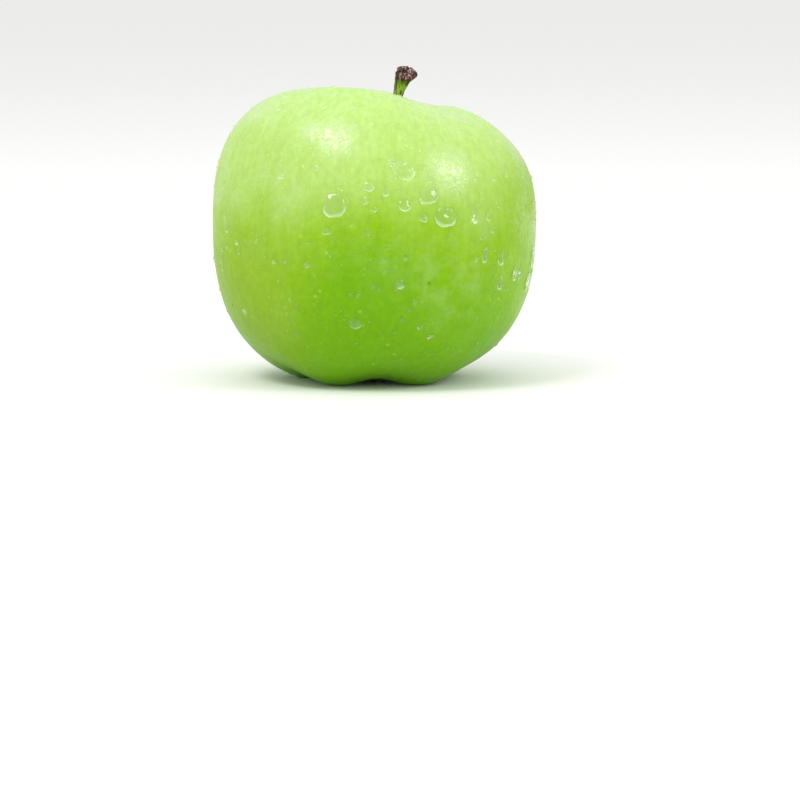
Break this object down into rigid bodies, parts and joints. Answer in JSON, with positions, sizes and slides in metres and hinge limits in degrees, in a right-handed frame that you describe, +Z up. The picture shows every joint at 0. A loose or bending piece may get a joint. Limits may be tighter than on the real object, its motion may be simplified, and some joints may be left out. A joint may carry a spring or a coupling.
{
  "type": "apple",
  "caption": "Whole green apple with a leaning woody stem in its cavity and dried sepals in its calyx basin, standing on the lobes of its base.",
  "frame": {"origin": "on the surface that the apple stands on, under the middle of its fruit", "axes": "+Z up, from the calyx to the stem; -Y is the front of the fruit and +X its right, the side that the stem leans to"},
  "size_m": [0.0794, 0.0782, 0.0768],
  "materials": {
    "skin": "smooth waxy skin, satin",
    "stem": "rough green-brown bark, broken brown end",
    "sepal": "dry and curled",
    "stamen": "dry threads",
    "water": "drops of clear water on the skin"
  },
  "bodies": {
    "root": {"fruit": "skin", "stem": "stem", "sepal_1": "sepal", "sepal_2": "sepal", "sepal_3": "sepal", "sepal_4": "sepal", "sepal_5": "sepal", "stamens": "stamen"}
  },
  "joints": []
}
